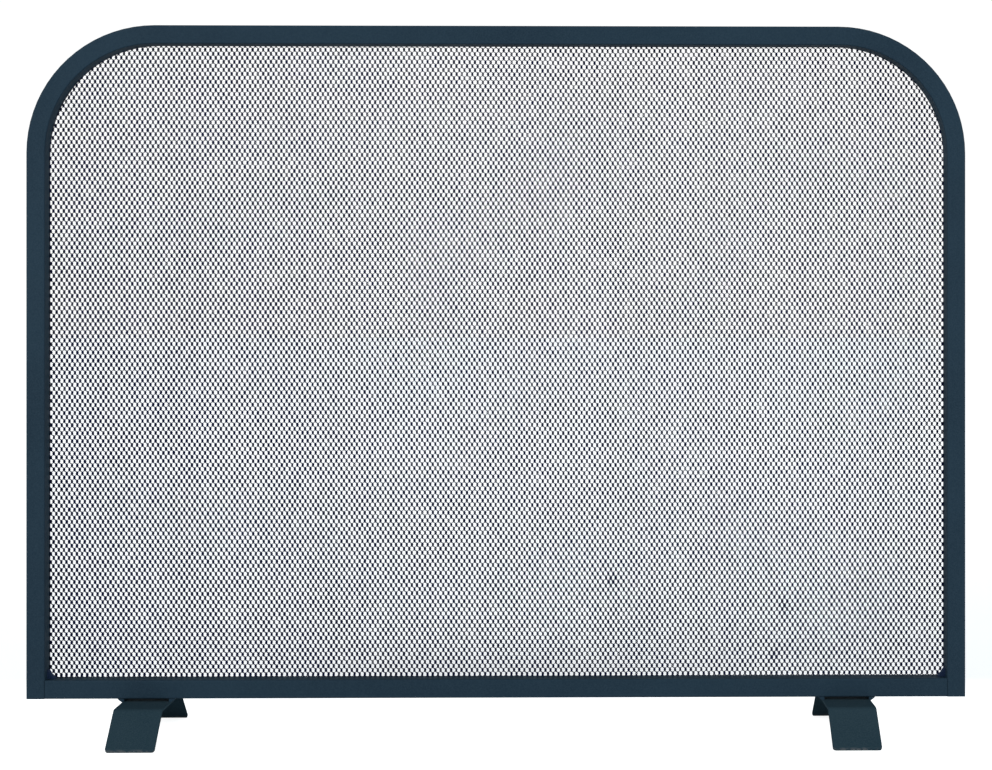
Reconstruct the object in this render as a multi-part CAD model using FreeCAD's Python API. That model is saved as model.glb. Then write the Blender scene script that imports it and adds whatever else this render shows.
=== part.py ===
import FreeCAD, Part
import math
import os

# Free-standing fireplace screen: a bent square-tube hoop closed by a bottom rail, a wire mesh
# held behind it by thin retaining strips, and two bent strap feet welded under the rail.
# Millimetres. X is the width, Y the depth (front is -Y), Z is up from the floor.
# The origin is on the floor, midway between the feet, under the middle of the tube.

V = FreeCAD.Vector

# Panel frame
PANEL_W = 965.0      # overall width, 38 in
PANEL_H = 691.0      # height of the framed panel
STAND_OFF = 38.5     # floor to the underside of the bottom rail
TUBE = 19.0          # square tube, 3/4 in
TUBE_R = 1.5         # outside edge radius of the tube
WALL = 1.2           # tube wall
CORNER_R = 131.0     # outside radius of the two top bends
FRONT_Y = -TUBE / 2  # front face of the tube

# Mesh and its retaining strips, behind the tube
MESH_T = 2.4         # depth of the woven wire
MESH_INSET = 6.0     # edge of the mesh, in from the outside of the frame
STRIP_W = 16.0
STRIP_T = 2.0
STRIP_INSET = 2.5    # outer edge of the strips, in from the outside of the frame

# Pan-head screws
SCREW_R = 1.75
SCREW_LEN = 10.0     # below the head
HEAD_R = 3.5
HEAD_H = 2.2
HEAD_ROUND = 1.2     # rounded rim of the head
SLOT_W = 1.0
SLOT_D = 1.0
HOLE_R = 1.9
SIDE_SCREWS_Z = (85.0, 250.0, 415.0, 580.0)
TOP_SCREWS_X = (-330.0, -165.0, 0.0, 165.0, 330.0)
BOTTOM_SCREWS_X = (-420.0, -210.0, 0.0, 210.0, 420.0)

# Strap feet
FOOT_X = 360.0       # middle of each foot from the middle of the panel
STRAP_W = 49.0
STRAP_T = 3.0
WELD_GAP = 3.2       # the rail stands this far above the strap, on the weld beads
BEND_Y = 45.5        # corner of the bent strap's centre line
LEG_RUN = 38.0       # depth of each sloping leg
BEND_R = 7.0         # bend radius of the centre line
TOE_R = 4.0          # rounded corners of the cut ends
EDGE_R = 0.5         # softened long edges of the strap
TOE_SINK = 0.8       # how much of the lower edge of a toe is ground flat

# Weld beads
FOOT_BEAD_OUT = 5.0  # spread on the underside of the rail, outside the strap's edge
FOOT_BEAD_IN = 1.5   # and inside it
FOOT_BEAD_WAIST = 1.8
FOOT_BEAD_DROP = 2.0
CORNER_BEAD_X = 8.0  # legs of the fillet in each lower inside corner
CORNER_BEAD_Z = 9.5
CORNER_BEAD_FULL = 0.46  # how far out its face stands, as a part of each leg

# Working values
DIAG = math.sqrt(0.5)
OVERSHOOT = 1.0      # how far cutting tools pass through what they cut
TOLERANCE = 0.01
SLOPE_STEPS = 20     # passes that settle the slope of the legs

HALF_W = PANEL_W / 2
TOP_Z = STAND_OFF + PANEL_H
STRAP_TOP = STAND_OFF - WELD_GAP
BACK_Y = FRONT_Y + TUBE
MID_Y = FRONT_Y + TUBE / 2
MESH_Y = BACK_Y + MESH_T
STRIP_Y = MESH_Y + STRIP_T


def rounded_square(half, radius):
    """Closed wire of a square tube section in XY, centred on the origin."""
    flat = half - radius
    bulge = flat + radius * DIAG
    edges = []
    for turn in range(4):
        a = math.radians(90 * turn)
        spin = lambda x, y: V(x * math.cos(a) - y * math.sin(a), x * math.sin(a) + y * math.cos(a), 0)
        edges.append(Part.makeLine(spin(half, -flat), spin(half, flat)))
        edges.append(Part.Arc(spin(half, flat), spin(bulge, bulge), spin(flat, half)).toShape())
    return Part.Wire(edges)


def arch_edges(inset, foot_z, y):
    """Left side, bend, top, bend and right side of an arch parallel to the outside of the frame."""
    x = HALF_W - inset
    top = TOP_Z - inset
    r = CORNER_R - inset
    cx = HALF_W - CORNER_R
    cz = TOP_Z - CORNER_R
    d = r * DIAG
    return [
        Part.makeLine(V(-x, y, foot_z), V(-x, y, cz)),
        Part.Arc(V(-x, y, cz), V(-cx - d, y, cz + d), V(-cx, y, top)).toShape(),
        Part.makeLine(V(-cx, y, top), V(cx, y, top)),
        Part.Arc(V(cx, y, top), V(cx + d, y, cz + d), V(x, y, cz)).toShape(),
        Part.makeLine(V(x, y, cz), V(x, y, foot_z)),
    ]


def screw_points():
    """Middle of every screw in XZ, along the middle of the strips."""
    mid = STRIP_INSET + STRIP_W / 2
    x = HALF_W - mid
    points = [(side * x, z) for side in (-1, 1) for z in SIDE_SCREWS_Z]
    points += [(px, TOP_Z - mid) for px in TOP_SCREWS_X]
    d = (CORNER_R - mid) * DIAG
    cx = HALF_W - CORNER_R
    cz = TOP_Z - CORNER_R
    points += [(side * (cx + d), cz + d) for side in (-1, 1)]
    points += [(px, strip_top() - STRIP_W / 2) for px in BOTTOM_SCREWS_X]
    return points


def strip_top():
    """Upper edge of the bottom strip, just above the bottom rail."""
    return STAND_OFF + STRIP_INSET + STRIP_W


def drilled(shape, y0, y1):
    """The shape with a clearance hole for every screw between two depths."""
    holes = [Part.makeCylinder(HOLE_R, y1 - y0, V(x, y0, z), V(0, 1, 0)) for x, z in screw_points()]
    return shape.cut(Part.Compound(holes))


def frame_hoop():
    """Both stiles and the top, one length of square tube bent at the two top corners."""
    path = Part.Wire(arch_edges(TUBE / 2, STAND_OFF, MID_Y))
    start = V(-HALF_W + TUBE / 2, MID_Y, STAND_OFF)
    skins = []
    for half, radius in ((TUBE / 2, TUBE_R), (TUBE / 2 - WALL, TUBE_R - WALL)):
        section = rounded_square(half, radius)
        section.translate(start)
        skins.append(path.makePipeShell([section], True, False))
    hoop = skins[0].cut(skins[1])
    return drilled(hoop, MID_Y, BACK_Y + OVERSHOOT)


def bottom_rail():
    """Square tube butted between the stiles."""
    length = PANEL_W - 2 * TUBE
    skins = []
    for half, radius in ((TUBE / 2, TUBE_R), (TUBE / 2 - WALL, TUBE_R - WALL)):
        section = rounded_square(half, radius)
        section.rotate(V(0, 0, 0), V(0, 1, 0), 90)
        section.translate(V(-length / 2, MID_Y, STAND_OFF + TUBE / 2))
        skins.append(Part.Face(section).extrude(V(length, 0, 0)))
    return drilled(skins[0].cut(skins[1]), MID_Y, BACK_Y + OVERSHOOT)


def mesh_panel():
    """The woven wire panel as one thin plate with the outline of the mesh."""
    foot = STAND_OFF + MESH_INSET
    edges = arch_edges(MESH_INSET, foot, BACK_Y)
    x = HALF_W - MESH_INSET
    edges.append(Part.makeLine(V(x, BACK_Y, foot), V(-x, BACK_Y, foot)))
    plate = Part.Face(Part.Wire(edges)).extrude(V(0, MESH_T, 0))
    return drilled(plate, BACK_Y - OVERSHOOT, MESH_Y + OVERSHOOT)


def retainer_hoop():
    """Flat strip behind both stiles and the top."""
    foot = STAND_OFF + STRIP_INSET
    outer = arch_edges(STRIP_INSET, foot, MESH_Y)
    inner = arch_edges(STRIP_INSET + STRIP_W, foot, MESH_Y)
    ends = []
    for side in (-1, 1):
        a = V(side * (HALF_W - STRIP_INSET), MESH_Y, foot)
        b = V(side * (HALF_W - STRIP_INSET - STRIP_W), MESH_Y, foot)
        ends.append(Part.makeLine(a, b))
    outline = Part.Wire(Part.__sortEdges__(outer + inner + ends))
    strip = Part.Face(outline).extrude(V(0, STRIP_T, 0))
    return drilled(strip, MESH_Y - OVERSHOOT, STRIP_Y + OVERSHOOT)


def retainer_bottom():
    """Flat strip behind the bottom rail, butted between the legs of the strip hoop."""
    half = HALF_W - STRIP_INSET - STRIP_W
    strip = Part.makeBox(2 * half, STRIP_T, STRIP_W, V(-half, MESH_Y, strip_top() - STRIP_W))
    return drilled(strip, MESH_Y - OVERSHOOT, STRIP_Y + OVERSHOOT)


def screw(x, z):
    """One slotted pan-head screw, its head on the back of the strip."""
    shank = Part.makeCylinder(SCREW_R, SCREW_LEN, V(x, STRIP_Y - SCREW_LEN, z), V(0, 1, 0))
    head = Part.makeCylinder(HEAD_R, HEAD_H, V(x, STRIP_Y, z), V(0, 1, 0))
    rim = [e for e in head.Edges if e.BoundBox.YMin > STRIP_Y + HEAD_H - TOLERANCE]
    head = head.makeFillet(HEAD_ROUND, rim)
    slot = Part.makeBox(2 * (HEAD_R + OVERSHOOT), SLOT_D + OVERSHOOT, SLOT_W,
                        V(x - HEAD_R - OVERSHOOT, STRIP_Y + HEAD_H - SLOT_D, z - SLOT_W / 2))
    return shank.fuse(head).removeSplitter().cut(slot)


def retainer_screws():
    """All the screws, as separate solids."""
    return Part.Compound([screw(x, z) for x, z in screw_points()])


def strap_foot(x):
    """One bent strap: flat under the rail, a leg sloping to the floor in front and behind."""
    web_z = STRAP_TOP - STRAP_T / 2
    # The legs' slope and the height of their ends depend on each other, so it is settled in steps.
    slope = math.atan2(web_z, LEG_RUN)
    for _ in range(SLOPE_STEPS):
        end_z = STRAP_T / 2 * math.cos(slope) - TOE_SINK
        slope = math.atan2(web_z - end_z, LEG_RUN)
    cut = BEND_R * math.tan(slope / 2)
    sag = BEND_R * (1 - math.cos(slope / 2))
    toe = V(x, -BEND_Y - LEG_RUN, end_z)
    leg_in = V(x, -BEND_Y - cut * math.cos(slope), web_z - cut * math.sin(slope))
    web_in = V(x, -BEND_Y + cut, web_z)
    mid = V(x, web_in.y - BEND_R * math.sin(slope / 2), web_z - sag)
    mirror = lambda p: V(p.x, -p.y, p.z)
    path = Part.Wire([
        Part.makeLine(toe, leg_in),
        Part.Arc(leg_in, mid, web_in).toShape(),
        Part.makeLine(web_in, mirror(web_in)),
        Part.Arc(mirror(web_in), mirror(mid), mirror(leg_in)).toShape(),
        Part.makeLine(mirror(leg_in), mirror(toe)),
    ])
    across = V(STRAP_W / 2, 0, 0)
    through = V(0, -math.sin(slope), math.cos(slope)) * (STRAP_T / 2)
    corners = [toe - across - through, toe + across - through, toe + across + through, toe - across + through]
    section = Part.makePolygon(corners + corners[:1])
    strap = path.makePipeShell([section], True, False)
    toe_edges = [e for e in strap.Edges
                 if abs(e.Length - STRAP_T) < TOLERANCE
                 and abs(e.CenterOfMass.y) > BEND_Y + LEG_RUN - STRAP_T]
    strap = strap.makeFillet(TOE_R, toe_edges)
    long_edges = [e for e in strap.Edges
                  if abs(abs(e.CenterOfMass.x - x) - STRAP_W / 2) < TOLERANCE
                  and e.Length > STRAP_T + TOLERANCE]
    strap = strap.makeFillet(EDGE_R, long_edges)
    reach = BEND_Y + LEG_RUN + STRAP_T
    below = Part.makeBox(2 * STRAP_W, 2 * reach, STRAP_T, V(x - STRAP_W, -reach, -STRAP_T))
    return strap.cut(below)


def prism(points, y0, y1):
    """Solid with a polygon outline in XZ between two depths."""
    ring = [V(px, y0, pz) for px, pz in points]
    return Part.Face(Part.makePolygon(ring + ring[:1])).extrude(V(0, y1 - y0, 0))


def foot_welds(x):
    """The beads that join both edges of a strap to the underside of the bottom rail."""
    beads = []
    for side in (-1, 1):
        edge = x + side * STRAP_W / 2
        points = [
            (edge - side * FOOT_BEAD_IN, STAND_OFF),
            (edge + side * FOOT_BEAD_OUT, STAND_OFF),
            (edge + side * FOOT_BEAD_WAIST, STAND_OFF - FOOT_BEAD_DROP),
            (edge, STRAP_TOP),
            (edge - side * FOOT_BEAD_IN, STRAP_TOP),
        ]
        beads.append(prism(points, FRONT_Y + TUBE_R, BACK_Y - TUBE_R))
    return Part.Compound(beads)


def corner_welds():
    """Fillets in the two lower inside corners, at the back where the mesh meets them."""
    beads = []
    z = STAND_OFF + TUBE
    for side in (-1, 1):
        x = side * (HALF_W - TUBE)
        points = [
            (x, z),
            (x - side * CORNER_BEAD_X, z),
            (x - side * CORNER_BEAD_X * CORNER_BEAD_FULL, z + CORNER_BEAD_Z * CORNER_BEAD_FULL),
            (x, z + CORNER_BEAD_Z),
        ]
        beads.append(prism(points, MID_Y, BACK_Y - TUBE_R))
    return Part.Compound(beads)


NODES = {
    "frame_hoop": frame_hoop(),
    "bottom_rail": bottom_rail(),
    "mesh_panel": mesh_panel(),
    "retainer_hoop": retainer_hoop(),
    "retainer_bottom": retainer_bottom(),
    "retainer_screws": retainer_screws(),
    "foot_left": strap_foot(-FOOT_X),
    "foot_right": strap_foot(FOOT_X),
    "foot_welds_left": foot_welds(-FOOT_X),
    "foot_welds_right": foot_welds(FOOT_X),
    "corner_welds": corner_welds(),
}

os.makedirs("parts", exist_ok=True)
for name, shape in NODES.items():
    shape.exportStep("parts/" + name + ".step")
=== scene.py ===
import math

import bpy
import numpy as np
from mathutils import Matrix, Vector, noise

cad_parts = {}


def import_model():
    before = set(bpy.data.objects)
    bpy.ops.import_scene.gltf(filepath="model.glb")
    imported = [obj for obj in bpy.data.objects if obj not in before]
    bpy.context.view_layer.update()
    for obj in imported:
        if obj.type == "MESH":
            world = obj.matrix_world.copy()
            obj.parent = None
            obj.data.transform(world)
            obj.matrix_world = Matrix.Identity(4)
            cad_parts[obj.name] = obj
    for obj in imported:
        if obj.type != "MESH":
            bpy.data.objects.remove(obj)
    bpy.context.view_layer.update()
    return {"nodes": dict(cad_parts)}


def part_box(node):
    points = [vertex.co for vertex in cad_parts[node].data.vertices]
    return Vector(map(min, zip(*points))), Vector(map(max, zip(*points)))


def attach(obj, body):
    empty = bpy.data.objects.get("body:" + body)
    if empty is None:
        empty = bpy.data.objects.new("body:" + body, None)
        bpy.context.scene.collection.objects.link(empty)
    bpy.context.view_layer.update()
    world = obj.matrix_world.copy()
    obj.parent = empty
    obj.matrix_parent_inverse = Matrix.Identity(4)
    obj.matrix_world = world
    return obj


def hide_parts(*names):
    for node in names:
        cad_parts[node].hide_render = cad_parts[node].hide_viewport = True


# Fireplace screen, in metres. The frame, strips, screws and feet are CAD nodes with new materials.
# The woven wires and the rippled weld beads are made here, in place of the CAD's plain plate and fillets.

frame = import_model()
NODES = frame["nodes"]

# Woven wire mesh: vertical spiral wires, each hooked through the next one
WIRE_R = 0.00033         # radius of a wire between its hooks
HOOK_R = 0.00062         # radius in the hooks, where the paint has gathered
WIRE_STEP = 0.002706     # from one spiral's axis to the next
PITCH = 0.00835          # height of one turn
FLATTEN = 0.12           # how square the turns are
WRAP = 0.00001           # clearance between hooked wires
DEPTH = 0.00062          # half depth of a spiral, to the wire's centre
STEPS_PER_TURN = 8
WIRE_SIDES = 4           # stays at 4, because the end caps are quads like the sides
WIRES_PER_PIECE = 30
WEAVE_SEED = 7
MESH_INSET = 0.006       # edge of the mesh, in from the outside of the frame
CORNER_R = 0.131         # outside radius of the frame's bends
HALF_WIDTH = 0.48        # of the screen, for what changes across it

# What is uneven in the weave
STRAY = 0.00030          # how far single turns wander up and down
STRAY_ACROSS = 0.6       # the same sideways, as a share of that
SWAY = 0.0009            # how far neighbouring wires drift together
DRIFT = 0.45             # share of it that holds from the bottom to the top of a wire
DRIFT_KNOTS = 30         # waves of that drift across the screen
SWAY_LEVELS = 28         # heights at which the rest of it is worked out
BEND_WAVE = (7.0, 3.0, 4.0)    # scale in width, slice of the noise, scale in height: sideways
FALL_WAVE = (6.0, 9.0, 5.0)    # the same, up and down
UNEVEN = 0.30            # how much the paint varies from hook to hook
RUN_DOWN = 0.15          # how much thicker the paint is at the foot of the mesh than at its top
RUN_DOWN_LEVEL = 0.6     # share of the height at which it is neither thicker nor thinner
MIDDLE = 0.035           # how much thinner it is towards the sides, and from left to right
SLANT = 0.15             # how much thicker a wire is in front than at the back

# Places (x, z) where the weave is pulled out of true
KINKS = ((0.117, 0.157), (0.297, 0.131), (0.286, 0.079))
KINK_R = 0.0045          # reach of a kink around its place
KINK_PULL = 0.0006       # how far it pulls the wires in and down
KINK_THICK = 0.40        # how much more paint has gathered there

# Weld beads
RIPPLE = 0.0015          # length of one weld ripple
RIPPLE_STEPS = 6         # rings of points in it
RIPPLE_HIGH = 0.00022    # how far a ripple stands proud
LUMPS = 160.0            # how fast the size of the ripples drifts along a bead
LUMP_HIGH = 0.5          # how much it drifts, as a share of RIPPLE_HIGH
SAG = 0.0008             # how far the middle of a ripple runs ahead of its ends
TAPER = 0.0012           # length over which a bead's ends taper
TAPER_DEEP = 0.0006      # and how much lower they end
ARC_POINTS = 9           # points across the crown of a bead
FOOT_BEAD_ROOT = 0.0015  # how far a foot bead is sunk behind the strap's edge
FOOT_BEAD_TOE = (0.0003, 0.0006)   # its lower end: beyond the strap's edge, and below the CAD bead
FOOT_BEAD_BULGE = 0.0006
CORNER_BEAD_X = 0.0080   # reach of a corner bead along the bottom rail
CORNER_BEAD_ROOT = 0.0004          # how far it is sunk into the tube
CORNER_BEAD_TOE = 0.0001           # how far its toe is sunk into the bottom rail
CORNER_BEAD_BULGE = -0.0004        # hollow

# Camera
EYE_BACK = 1.95          # from the front face of the frame
EYE_X = 0.075
EYE_Z = 0.4286
EYE_TURN = -0.0142       # radians from square-on, to the right
IMAGE_W, IMAGE_H = 992, 770
FOCAL_PX = 1896.0
CENTRE_X, CENTRE_Y = 597.3, 318.4   # where the lens axis meets the picture
SENSOR_MM = 36.0

# Lights: place, power in watts and colour; both are disks aimed at one point
KEY_LIGHT = ((-3.3, -3.1, 1.9), 102.0, (1.0, 0.99, 0.97))
FILL_LIGHT = ((3.5, -2.9, 1.5), 84.0, (0.94, 0.98, 1.0))
LIGHT_SIZE = 2.4
LIGHT_AIM = (0, 0, 0.30)
SKY_SEEN = ((0.985, 0.995, 1.0, 1), 1.05)    # colour and strength
SKY_LIT = ((0.88, 0.95, 1.0, 1), 0.60)

# Floor: a glow that only the camera sees takes it to white, more so behind and in front of the screen
FLOOR_HALF = 40.0
GLOW = 0.42
GLOW_FAR, FAR_Y = 0.16, (0.5, 4.0)
GLOW_NEAR, NEAR_Y = 0.42, (0.30, 0.15)

# Powder coats, linear RGB: main tone, lighter grain and specks, darker clouds
SLATE = ((0.0112, 0.0278, 0.0445), (0.026, 0.048, 0.069), (0.0085, 0.0220, 0.0365))
SLATE_FEET = ((0.0175, 0.036, 0.048), (0.038, 0.062, 0.077), (0.012, 0.029, 0.041))
SLATE_WELDS = ((0.011, 0.028, 0.046), (0.026, 0.048, 0.070), (0.008, 0.022, 0.038))
# Corner beads: a bluer copy of the frame coat. This is painted light that keeps the beads, which sit in
# the shade of the tube's corner, from going black.
SLATE_CORNERS_PAINTED_LIGHT = ((0.011, 0.024, 0.062), (0.024, 0.042, 0.090), (0.009, 0.020, 0.052))
SCUFF = (0.10, 0.105, 0.11)
SCUFF_Z = (0.0035, 0.0005)     # heights over which the toes become scuffed
COAT_GLOSS = 0.08
FEET_GLOSS = 0.003


def add_object(name, data):
    ob = bpy.data.objects.new(name, data)
    bpy.context.scene.collection.objects.link(ob)
    return ob


def make_mesh(name, verts, faces, smooth):
    """A mesh object from an array of points and an array of quads."""
    me = bpy.data.meshes.new(name)
    side = faces.shape[1]
    me.vertices.add(len(verts))
    me.vertices.foreach_set("co", verts.astype(np.float32).ravel())
    me.loops.add(faces.size)
    me.loops.foreach_set("vertex_index", faces.astype(np.int32).ravel())
    me.polygons.add(len(faces))
    me.polygons.foreach_set("loop_start", np.arange(len(faces), dtype=np.int32) * side)
    me.update(calc_edges=True)
    if smooth:
        me.shade_smooth()
    else:
        me.shade_flat()
    return add_object(name, me)


def skin(rings, count):
    """Quads between neighbouring rings of points, with count points in each."""
    k = np.arange(rings - 1)[:, None] * count
    s = np.arange(count)[None]
    after = (s + 1) % count
    return np.stack([k + s, k + after, k + count + after, k + count + s], -1).reshape(-1, 4)


# ---------------------------------------------------------------- materials

class Nodes:
    """A material's node tree with short calls for the nodes used here."""

    def __init__(self, name):
        self.mat = bpy.data.materials.new(name)
        self.mat.use_nodes = True
        self.tree = self.mat.node_tree
        self.shader = self.tree.nodes["Principled BSDF"]
        self.place = self.tree.nodes.new("ShaderNodeTexCoord").outputs["Object"]

    def link(self, a, b):
        self.tree.links.new(a, b)

    def feed(self, value, socket):
        """Links a node's output to a socket, or sets the socket to a plain number."""
        if isinstance(value, bpy.types.NodeSocket):
            self.link(value, socket)
        else:
            socket.default_value = value

    def set(self, socket, value):
        self.shader.inputs[socket].default_value = value

    def noise(self, scale, detail):
        n = self.tree.nodes.new("ShaderNodeTexNoise")
        n.inputs["Scale"].default_value = scale
        n.inputs["Detail"].default_value = detail
        self.link(self.place, n.inputs["Vector"])
        return n.outputs["Fac"]

    def cells(self, scale):
        n = self.tree.nodes.new("ShaderNodeTexVoronoi")
        n.inputs["Scale"].default_value = scale
        self.link(self.place, n.inputs["Vector"])
        return n.outputs["Distance"]

    def axis(self, letter):
        """X, Y or Z of the place, in metres."""
        n = self.tree.nodes.new("ShaderNodeSeparateXYZ")
        self.link(self.place, n.inputs[0])
        return n.outputs[letter]

    def ramp(self, fac, low, high, from_value=0.0, to_value=1.0):
        n = self.tree.nodes.new("ShaderNodeMapRange")
        n.inputs["From Min"].default_value = low
        n.inputs["From Max"].default_value = high
        n.inputs["To Min"].default_value = from_value
        n.inputs["To Max"].default_value = to_value
        self.link(fac, n.inputs["Value"])
        return n.outputs["Result"]

    def mix(self, fac, a, b):
        """A blend from a to b, each a plain colour or a node's output."""
        n = self.tree.nodes.new("ShaderNodeMix")
        n.data_type = "RGBA"
        self.feed(fac, n.inputs[0])
        for colour, index in ((a, 6), (b, 7)):
            self.feed((*colour, 1.0) if isinstance(colour, tuple) else colour, n.inputs[index])
        return n.outputs[2]

    def math(self, kind, a, b):
        n = self.tree.nodes.new("ShaderNodeMath")
        n.operation = kind
        self.feed(a, n.inputs[0])
        self.feed(b, n.inputs[1])
        return n.outputs[0]

    def bump(self, height, distance, strength):
        n = self.tree.nodes.new("ShaderNodeBump")
        n.inputs["Distance"].default_value = distance
        n.inputs["Strength"].default_value = strength
        self.link(height, n.inputs["Height"])
        self.link(n.outputs["Normal"], self.shader.inputs["Normal"])


def powder_coat(name, tones, gloss=COAT_GLOSS, scuffed=False):
    """Fine-textured powder coat: cloudy tone, grain, tiny lighter specks, orange peel, scuffed toes."""
    main, light, dark = tones
    m = Nodes(name)
    cloud = m.ramp(m.noise(9.0, 4.0), 0.35, 0.65)
    tone = m.mix(cloud, dark, main)
    grain = m.ramp(m.noise(900.0, 2.0), 0.3, 0.75)
    tone = m.mix(m.math("MULTIPLY", grain, 0.45), tone, light)
    specks = m.ramp(m.cells(420.0), 0.10, 0.04)
    chance = m.ramp(m.noise(60.0, 1.0), 0.60, 0.68)
    tone = m.mix(m.math("MULTIPLY", m.math("MULTIPLY", specks, chance), 0.5), tone, light)
    rough = m.ramp(m.noise(35.0, 3.0), 0.3, 0.7, 0.50, 0.62)
    if scuffed:
        low = m.ramp(m.axis("Z"), *SCUFF_Z)
        worn = m.math("MULTIPLY", low, m.ramp(m.noise(260.0, 3.0), 0.42, 0.62))
        tone = m.mix(worn, tone, SCUFF)
    m.link(tone, m.shader.inputs["Base Color"])
    m.link(rough, m.shader.inputs["Roughness"])
    peel = m.math("ADD", m.noise(620.0, 2.0), m.math("MULTIPLY", m.noise(190.0, 1.0), 0.6))
    m.bump(peel, distance=0.00012, strength=0.55)
    m.set("Specular IOR Level", gloss)
    return m.mat


def wire_paint():
    """Thin matte blue-black paint on wire, with small rubbed spots."""
    m = Nodes("mesh_wire_paint")
    cloud = m.ramp(m.noise(14.0, 3.0), 0.35, 0.65)
    tone = m.mix(cloud, (0.0012, 0.0030, 0.024), (0.0025, 0.0052, 0.034))
    rubbed = m.ramp(m.noise(1500.0, 2.0), 0.66, 0.8)
    tone = m.mix(m.math("MULTIPLY", rubbed, 0.3), tone, (0.012, 0.018, 0.045))
    m.link(tone, m.shader.inputs["Base Color"])
    m.link(m.ramp(m.noise(300.0, 2.0), 0.3, 0.7, 0.55, 0.7), m.shader.inputs["Roughness"])
    m.set("Specular IOR Level", COAT_GLOSS)
    return m.mat


def strip_paint():
    """Matte dark paint on sheet-cut strip, with uneven patches and fine grain."""
    m = Nodes("strip_paint")
    cloud = m.ramp(m.noise(22.0, 4.0), 0.35, 0.65)
    tone = m.mix(cloud, (0.012, 0.015, 0.030), (0.019, 0.024, 0.042))
    grain = m.ramp(m.noise(1100.0, 2.0), 0.5, 0.8)
    tone = m.mix(m.math("MULTIPLY", grain, 0.3), tone, (0.04, 0.045, 0.06))
    m.link(tone, m.shader.inputs["Base Color"])
    m.link(m.ramp(m.noise(50.0, 3.0), 0.3, 0.7, 0.5, 0.64), m.shader.inputs["Roughness"])
    m.bump(m.noise(800.0, 2.0), distance=0.0001, strength=0.4)
    return m.mat


def black_oxide():
    """Blackened screw steel, greyer where a driver has rubbed it."""
    m = Nodes("screw_black_oxide")
    rubbed = m.ramp(m.noise(500.0, 3.0), 0.4, 0.7)
    tone = m.mix(rubbed, (0.010, 0.010, 0.013), (0.035, 0.035, 0.04))
    m.link(tone, m.shader.inputs["Base Color"])
    m.link(m.ramp(m.noise(900.0, 2.0), 0.3, 0.7, 0.32, 0.5), m.shader.inputs["Roughness"])
    m.set("Metallic", 0.7)
    m.bump(m.noise(1800.0, 2.0), distance=0.00005, strength=0.4)
    return m.mat


def dress(material, *names):
    """Gives carried-over CAD nodes one material."""
    for name in names:
        for slot in NODES[name].material_slots:
            slot.link = "OBJECT"
            slot.material = material


# ---------------------------------------------------------------- wire mesh

def smooth_random(rng, n, knots):
    """n values in -1..1 that change smoothly, from random values at evenly spaced knots."""
    at = np.linspace(0, knots - 1, n)
    values = rng.uniform(-1, 1, knots + 3)
    i = at.astype(int)
    t = at - i
    p = [values[i + k] for k in range(4)]
    return (p[0] * (1 - t) ** 3 + p[1] * (3 * t**3 - 6 * t**2 + 4)
            + p[2] * (-3 * t**3 + 3 * t**2 + 3 * t + 1) + p[3] * t**3) / 6


def spiral_path(x_axis, z0, z1, phase, rng, bend, fall, y_mid):
    """Centre line and radius of one spiral wire, with small wandering of its turns."""
    turns = (z1 - z0) / PITCH
    n = int(turns * STEPS_PER_TURN) + 1
    t = np.arange(n) / STEPS_PER_TURN
    angle = 2 * math.pi * t + phase
    reach = WIRE_STEP / 2 + HOOK_R + WRAP
    across = (np.sin(angle) + FLATTEN * np.sin(3 * angle)) / (1 - FLATTEN)
    z = z0 + t * PITCH
    x = x_axis + reach * across + bend(z)
    y = y_mid + DEPTH * np.cos(angle)
    knots = max(4, n // STEPS_PER_TURN * 2)
    wander = smooth_random(rng, n, knots) * STRAY
    x = x + smooth_random(rng, n, knots) * STRAY * STRAY_ACROSS
    paint = 1 + smooth_random(rng, n, knots) * UNEVEN
    radius = WIRE_R + (HOOK_R * paint - WIRE_R) * np.minimum(np.abs(across), 1) ** 2
    place = x_axis / HALF_WIDTH
    radius *= 1 + RUN_DOWN * (RUN_DOWN_LEVEL - t / turns) - MIDDLE * place**2 - MIDDLE * place
    radius *= 1 - SLANT * np.cos(angle)
    z = z + fall(z) + wander
    for kink_x, kink_z in KINKS:
        near = np.exp(-((x_axis - kink_x) ** 2 + (z - kink_z) ** 2) / (2 * KINK_R**2))
        x -= (x_axis - kink_x) / KINK_R * KINK_PULL * near
        z = z - KINK_PULL * near
        radius *= 1 + KINK_THICK * near
    return np.stack([x, y, z], 1), radius


def tube(path, radius):
    """Rings of points around a path, and the quads between them with a flat cap at each end."""
    tangent = np.gradient(path, axis=0)
    tangent /= np.linalg.norm(tangent, axis=1)[:, None]
    side = np.cross(tangent, [0.0, 1.0, 0.0])
    side /= np.linalg.norm(side, axis=1)[:, None]
    up = np.cross(side, tangent)
    a = 2 * math.pi * (np.arange(WIRE_SIDES) + 0.5) / WIRE_SIDES
    ring = np.cos(a)[None, :, None] * side[:, None] + np.sin(a)[None, :, None] * up[:, None]
    ring *= radius[:, None, None] / math.cos(math.pi / WIRE_SIDES)
    verts = (path[:, None] + ring).reshape(-1, 3)
    end = np.arange(WIRE_SIDES)
    caps = np.array([end[::-1], end + (len(path) - 1) * WIRE_SIDES])
    return verts, np.concatenate([skin(len(path), WIRE_SIDES), caps])


def swayed(x, levels, wave):
    """A smooth function of height: how far the wire at x sways there, much as its neighbours do."""
    across, layer, up = wave
    values = [noise.noise(Vector((x * across, layer, z * up))) * SWAY for z in levels]
    return lambda z: np.interp(z, levels, values)


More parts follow.
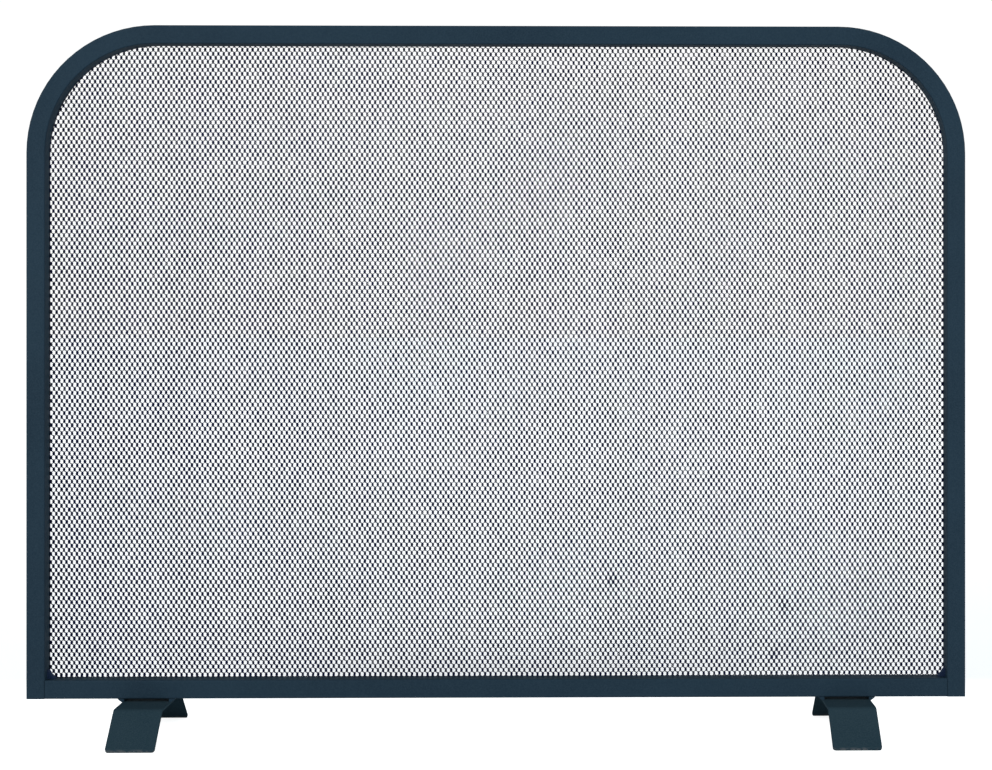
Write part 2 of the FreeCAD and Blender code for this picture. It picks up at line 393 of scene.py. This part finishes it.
def weave():
    """The whole mesh, in pieces of neighbouring wires, cut to the rounded outline of the frame."""
    low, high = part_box("mesh_panel")
    y_mid = (low.y + high.y) / 2
    corner = CORNER_R - MESH_INSET
    rng = np.random.default_rng(WEAVE_SEED)
    count = int(2 * (high.x - WIRE_STEP) / WIRE_STEP)
    drift = smooth_random(rng, count, DRIFT_KNOTS) * SWAY * DRIFT
    levels = np.linspace(low.z, high.z, SWAY_LEVELS)
    wires = []
    for i in range(count):
        x = (i - (count - 1) / 2) * WIRE_STEP
        past = max(abs(x) + WIRE_STEP - (high.x - corner), 0.0)
        top = high.z - corner + math.sqrt(max(corner**2 - past**2, 0.0)) - HOOK_R
        path, radius = spiral_path(
            x + drift[i], low.z + HOOK_R, top, math.pi * (i % 2), rng,
            swayed(x, levels, BEND_WAVE), swayed(x, levels, FALL_WAVE), y_mid)
        keep = (path[:, 2] < top) & (path[:, 2] > low.z)
        wires.append(tube(path[keep], radius[keep]))
    material = wire_paint()
    pieces = []
    for first in range(0, count, WIRES_PER_PIECE):
        group = wires[first:first + WIRES_PER_PIECE]
        starts = np.cumsum([0] + [len(v) for v, _ in group[:-1]])
        verts = np.concatenate([v for v, _ in group])
        faces = np.concatenate([f + start for (_, f), start in zip(group, starts)])
        piece = make_mesh(f"mesh_wires_{len(pieces) + 1:02d}", verts, faces, smooth=True)
        piece.data.materials.append(material)
        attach(piece, "root")
        pieces.append(piece)
    for piece in pieces:
        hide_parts("mesh_panel")


# ---------------------------------------------------------------- welds

def bead(name, profile, y0, y1, material):
    """A rippled weld bead: a closed (x, z) profile run from y0 to y1. Its points carry how free they are
    to ripple, from 0 where they are fused to the metal to 1 at the crown of the bead."""
    steps = int((y1 - y0) / RIPPLE * RIPPLE_STEPS)
    outline = np.array([p[:2] for p in profile])
    free = np.array([p[2] for p in profile])
    away = outline - outline.mean(0)
    away /= np.linalg.norm(away, axis=1)[:, None]
    rings = []
    for y in np.linspace(y0, y1, steps + 1):
        beat = abs(math.sin(math.pi * (y - y0) / RIPPLE)) - 1.0
        lump = noise.noise(Vector((y * LUMPS, outline[0][0] * 50.0, 2.0))) * LUMP_HIGH
        fade = min(1.0, (y - y0) / TAPER, (y1 - y) / TAPER)
        grow = (beat * RIPPLE_HIGH + lump * RIPPLE_HIGH - (1 - fade) * TAPER_DEEP) * free
        lead = SAG * free * fade
        ring = outline + away * grow[:, None]
        rings.append(np.stack([ring[:, 0], y - lead * 0.5, ring[:, 1]], 1))
    count = len(outline)
    verts = np.concatenate([*rings, [rings[0].mean(0)], [rings[-1].mean(0)]])
    first, last = len(verts) - 2, len(verts) - 1
    end = steps * count
    faces = skin(steps + 1, count).tolist()
    faces += [[first, (i + 1) % count, i] for i in range(count)]
    faces += [[last, end + i, end + (i + 1) % count] for i in range(count)]
    me = bpy.data.meshes.new(name)
    me.from_pydata(verts.tolist(), [], faces)
    me.shade_smooth()
    for polygon in me.polygons[-2 * count:]:
        polygon.use_smooth = False
    me.materials.append(material)
    ob = add_object(name, me)
    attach(ob, "root")
    return ob


def arc(start, end, bulge):
    """Points from start to end along a low arc that stands out by bulge at its middle, freest there."""
    (x0, z0), (x1, z1) = start, end
    length = math.hypot(x1 - x0, z1 - z0)
    nx, nz = (z0 - z1) / length, (x1 - x0) / length
    out = []
    for i in range(ARC_POINTS):
        t = i / (ARC_POINTS - 1)
        lift = bulge * 4 * t * (1 - t)
        out.append((x0 + (x1 - x0) * t + nx * lift, z0 + (z1 - z0) * t + nz * lift, 4 * t * (1 - t)))
    return out


def foot_beads(node, material):
    """The two beads along a foot's strap, between it and the bottom rail."""
    low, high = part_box(node)
    strap_low, strap_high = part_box(node.replace("welds_", ""))
    toe_out, toe_down = FOOT_BEAD_TOE
    pair = []
    for side, edge, out in ((-1, strap_low.x, low.x), (1, strap_high.x, high.x)):
        root = edge - side * FOOT_BEAD_ROOT
        toe = (edge + side * toe_out, low.z - toe_down)
        crown = arc((out, high.z), toe, side * FOOT_BEAD_BULGE)
        profile = [(root, high.z, 0.0), *crown, (root, low.z, 0.0)]
        pair.append(bead(f"{node}_bead_{len(pair) + 1}", profile, low.y, high.y, material))
    for piece in pair:
        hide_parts(node)


def corner_beads(material):
    """The beads in the two lower inside corners of the frame."""
    low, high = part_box("corner_welds")
    pair = []
    for side in (-1, 1):
        root = (side * (high.x + CORNER_BEAD_ROOT), low.z - CORNER_BEAD_ROOT, 0.0)
        toe = (side * (high.x - CORNER_BEAD_X), low.z - CORNER_BEAD_TOE)
        crown = arc(toe, (side * high.x, high.z), side * CORNER_BEAD_BULGE)
        pair.append(bead(f"corner_bead_{len(pair) + 1}", [root, *crown], low.y, high.y, material))
    for piece in pair:
        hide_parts("corner_welds")


# ---------------------------------------------------------------- stage

def light(name, place, power, colour):
    data = bpy.data.lights.new(name, "AREA")
    data.shape = "DISK"
    data.size = LIGHT_SIZE
    data.energy = power
    data.color = colour
    ob = add_object(name, data)
    ob.location = place
    ob.rotation_euler = (Vector(LIGHT_AIM) - Vector(place)).to_track_quat("-Z", "Y").to_euler()


def shown_or_lit(tree, shown, lit):
    """One shader for what the camera sees directly, another for the light that things receive."""
    mix = tree.nodes.new("ShaderNodeMixShader")
    path = tree.nodes.new("ShaderNodeLightPath")
    tree.links.new(path.outputs["Is Camera Ray"], mix.inputs[0])
    tree.links.new(lit, mix.inputs[1])
    tree.links.new(shown, mix.inputs[2])
    return mix.outputs[0]


def floor():
    """Plain white floor that runs into the background."""
    corners = ((-1, -1, 0), (1, -1, 0), (1, 1, 0), (-1, 1, 0))
    ob = make_mesh("floor", np.array(corners) * FLOOR_HALF, np.array([[0, 1, 2, 3]]), smooth=False)
    m = Nodes("floor_white")
    tone = m.mix(m.noise(3.0, 2.0), (0.84, 0.85, 0.85), (0.86, 0.87, 0.87))
    m.link(tone, m.shader.inputs["Base Color"])
    m.set("Roughness", 0.9)
    m.set("Specular IOR Level", 0.1)
    y = m.axis("Y")
    far = m.math("MULTIPLY", m.ramp(y, *FAR_Y), GLOW_FAR)
    near = m.math("MULTIPLY", m.ramp(y, *NEAR_Y), GLOW_NEAR)
    glow = m.tree.nodes.new("ShaderNodeEmission")
    glow.inputs["Color"].default_value = (1.0, 1.0, 1.0, 1.0)
    m.link(m.math("ADD", m.math("ADD", far, near), GLOW), glow.inputs["Strength"])
    both = m.tree.nodes.new("ShaderNodeAddShader")
    m.link(m.shader.outputs[0], both.inputs[0])
    m.link(glow.outputs[0], both.inputs[1])
    surface = m.tree.nodes["Material Output"].inputs["Surface"]
    m.link(shown_or_lit(m.tree, both.outputs[0], m.shader.outputs[0]), surface)
    ob.data.materials.append(m.mat)


def world():
    """White behind everything the camera sees; softer and bluer as a light source."""
    sky = bpy.data.worlds.new("studio")
    bpy.context.scene.world = sky
    sky.use_nodes = True
    tree = sky.node_tree
    tree.nodes.clear()
    out = tree.nodes.new("ShaderNodeOutputWorld")
    shaders = []
    for colour, strength in (SKY_SEEN, SKY_LIT):
        background = tree.nodes.new("ShaderNodeBackground")
        background.inputs["Color"].default_value = colour
        background.inputs["Strength"].default_value = strength
        shaders.append(background.outputs[0])
    tree.links.new(shown_or_lit(tree, *shaders), out.inputs["Surface"])


def camera():
    """The photo's camera, a little to the right of the middle and slightly turned."""
    low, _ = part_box("frame_hoop")
    data = bpy.data.cameras.new("camera")
    data.sensor_width = SENSOR_MM
    data.lens = FOCAL_PX / IMAGE_W * data.sensor_width
    data.shift_x = (IMAGE_W / 2 - CENTRE_X) / IMAGE_W
    data.shift_y = (CENTRE_Y - IMAGE_H / 2) / IMAGE_W
    ob = add_object("camera", data)
    ob.location = (EYE_X, low.y - EYE_BACK, EYE_Z)
    ob.rotation_euler = (math.pi / 2, 0.0, EYE_TURN)
    bpy.context.scene.camera = ob


dress(powder_coat("slate_coat", SLATE), "frame_hoop", "bottom_rail")
dress(powder_coat("slate_coat_feet", SLATE_FEET, FEET_GLOSS, scuffed=True), "foot_left", "foot_right")
dress(strip_paint(), "retainer_hoop", "retainer_bottom")
dress(black_oxide(), "retainer_screws")

weld_coat = powder_coat("slate_coat_welds", SLATE_WELDS)
foot_beads("foot_welds_left", weld_coat)
foot_beads("foot_welds_right", weld_coat)
# The corner beads get a painted-light coat: bluer than the frame, to lift them out of the shade inside
# the tube's corner.
corner_beads(powder_coat("slate_coat_corners_painted_light", SLATE_CORNERS_PAINTED_LIGHT))
weave()

floor()
world()
camera()
light("key", *KEY_LIGHT)
light("fill", *FILL_LIGHT)
bpy.context.scene.view_settings.view_transform = "Standard"
